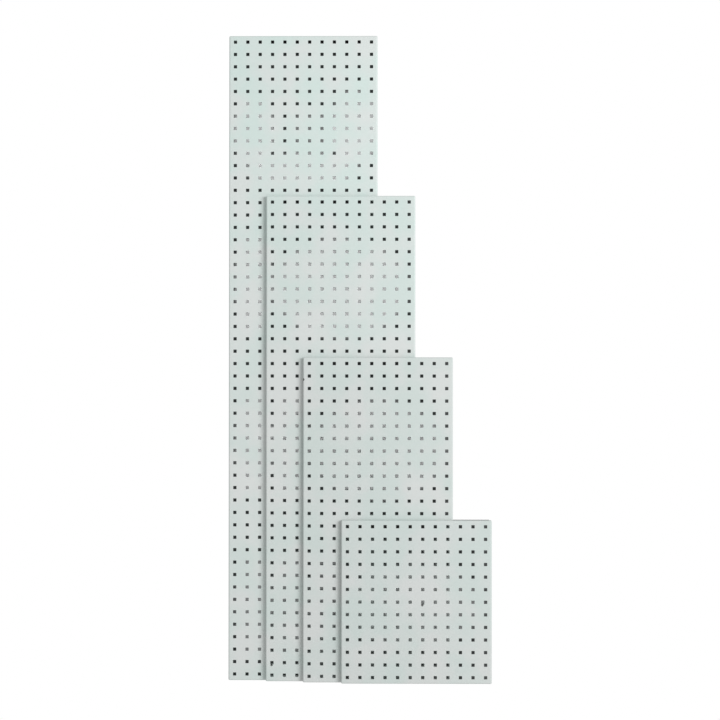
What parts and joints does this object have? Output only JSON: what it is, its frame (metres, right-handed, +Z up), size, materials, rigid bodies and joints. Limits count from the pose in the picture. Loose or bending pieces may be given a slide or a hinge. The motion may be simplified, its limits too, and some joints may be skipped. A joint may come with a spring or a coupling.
{
  "type": "pegboard tool wall",
  "caption": "Tool wall of folded, square-perforated sheet-steel panels in falling heights, hung one on another in a stagger from a wall rail.",
  "frame": {"origin": "middle of the wall rail's back face, where it lies on the wall", "axes": "+X to the right as seen from the front, +Y into the wall, +Z up"},
  "size_m": [0.8041, 0.1086, 1.9812],
  "materials": {
    "powder_coat": "fine-textured light grey powder coat with a slight green tint",
    "black_coat": "thin satin black dip coat",
    "zinc_plate": "bright zinc plate",
    "rubber": "matt black rubber",
    "nylon": "grey moulded nylon"
  },
  "bodies": {
    "wall_rail": {"wall_plug_1": "nylon", "wall_plug_2": "nylon", "wall_plug_3": "nylon", "wall_plug_4": "nylon", "wall_rail": "black_coat", "wall_screw_1": "zinc_plate", "wall_screw_2": "zinc_plate", "wall_screw_3": "zinc_plate", "wall_screw_4": "zinc_plate"},
    "back_board": {"back_bumper_left": "rubber", "back_bumper_right": "rubber", "back_panel": "powder_coat", "back_stiffener_1": "powder_coat", "back_stiffener_2": "powder_coat", "back_stiffener_3": "powder_coat"},
    "second_rail": {"hanger_rail_second": "black_coat"},
    "second_board": {"second_bumper_left": "rubber", "second_bumper_right": "rubber", "second_panel": "powder_coat", "second_stiffener_1": "powder_coat", "second_stiffener_2": "powder_coat"},
    "third_rail": {"hanger_rail_third": "black_coat"},
    "third_board": {"third_bumper_left": "rubber", "third_bumper_right": "rubber", "third_panel": "powder_coat", "third_stiffener_1": "powder_coat"},
    "front_rail": {"hanger_rail_front": "black_coat"},
    "front_board": {"front_bumper_left": "rubber", "front_bumper_right": "rubber", "front_panel": "powder_coat"}
  },
  "joints": [
    {"name": "back_panel_swing", "type": "hinge", "parent": "wall_rail", "child": "back_board", "pos_m": [0, -0.0026, 0.0188], "axis": [-1, 0, 0], "range_deg": [0, 10]},
    {"name": "second_rail_lift", "type": "slide", "parent": "back_board", "child": "second_rail", "axis": [0, 0, 1], "range_m": [0, 0.0075]},
    {"name": "second_panel_swing", "type": "hinge", "parent": "second_rail", "child": "second_board", "pos_m": [0, -0.0202, -0.4765], "axis": [-1, 0, 0], "range_deg": [0, 10]},
    {"name": "third_rail_lift", "type": "slide", "parent": "second_board", "child": "third_rail", "axis": [0, 0, 1], "range_m": [0, 0.0075]},
    {"name": "third_panel_swing", "type": "hinge", "parent": "third_rail", "child": "third_board", "pos_m": [0, -0.0378, -0.9718], "axis": [-1, 0, 0], "range_deg": [0, 10]},
    {"name": "front_rail_lift", "type": "slide", "parent": "third_board", "child": "front_rail", "axis": [0, 0, 1], "range_m": [0, 0.0075]},
    {"name": "front_panel_swing", "type": "hinge", "parent": "front_rail", "child": "front_board", "pos_m": [0, -0.0554, -1.4671], "axis": [-1, 0, 0], "range_deg": [0, 10]}
  ]
}
